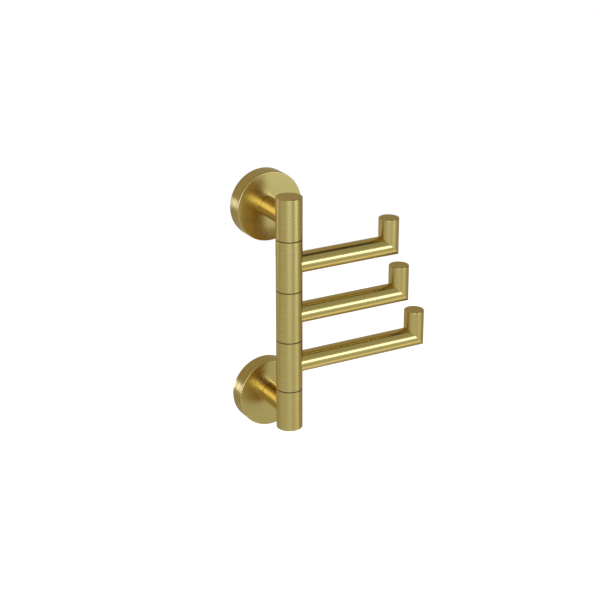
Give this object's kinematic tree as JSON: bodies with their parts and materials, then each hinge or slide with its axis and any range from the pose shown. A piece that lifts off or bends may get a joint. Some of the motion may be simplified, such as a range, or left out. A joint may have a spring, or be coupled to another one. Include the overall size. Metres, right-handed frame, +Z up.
{
  "type": "swivel towel hook",
  "caption": "Wall-mounted towel hook: an upright round post, held off the wall by round flanges, carries L-shaped arms with upturned ends that swivel on its spindle.",
  "frame": {"origin": "centre of the pattern of wall screws, on the wall plane, midway between the flanges", "axes": "+Z up along the post, +Y into the wall, +X to the right as seen from the room, along the arms"},
  "size_m": [0.1456, 0.0525, 0.2056],
  "materials": {
    "satin_brass": "fine brushed satin",
    "fixing_steel": "plain",
    "bracket_zinc": "cast, dull",
    "black_nylon": "matt"
  },
  "bodies": {
    "wall_stand": {"spindle": "fixing_steel", "seam_washer_1": "black_nylon", "seam_washer_2": "black_nylon", "seam_washer_3": "black_nylon", "seam_washer_4": "black_nylon", "upper_wall_bracket": "bracket_zinc", "upper_flange": "satin_brass", "upper_grub_screw": "fixing_steel", "upper_standoff": "satin_brass", "upper_standoff_screw": "fixing_steel", "upper_post_end": "satin_brass", "lower_wall_bracket": "bracket_zinc", "lower_flange": "satin_brass", "lower_grub_screw": "fixing_steel", "lower_standoff": "satin_brass", "lower_standoff_screw": "fixing_steel", "lower_post_end": "satin_brass"},
    "upper_swing_arm": {"upper_sleeve": "satin_brass", "upper_arm": "satin_brass", "upper_sleeve_top_bush": "black_nylon", "upper_sleeve_bottom_bush": "black_nylon"},
    "middle_swing_arm": {"middle_sleeve": "satin_brass", "middle_arm": "satin_brass", "middle_sleeve_top_bush": "black_nylon", "middle_sleeve_bottom_bush": "black_nylon"},
    "lower_swing_arm": {"lower_sleeve": "satin_brass", "lower_arm": "satin_brass", "lower_sleeve_top_bush": "black_nylon", "lower_sleeve_bottom_bush": "black_nylon"}
  },
  "joints": [
    {"name": "upper_arm_swing", "type": "hinge", "parent": "wall_stand", "child": "upper_swing_arm", "pos_m": [0, -0.0425, 0.0399], "axis": [0, 0, 1], "range_deg": [-202, 22]},
    {"name": "middle_arm_swing", "type": "hinge", "parent": "wall_stand", "child": "middle_swing_arm", "pos_m": [0, -0.0425, 0], "axis": [0, 0, 1], "range_deg": [-200, 20]},
    {"name": "lower_arm_swing", "type": "hinge", "parent": "wall_stand", "child": "lower_swing_arm", "pos_m": [0, -0.0425, -0.0399], "axis": [0, 0, 1], "range_deg": [-197, 17]}
  ]
}
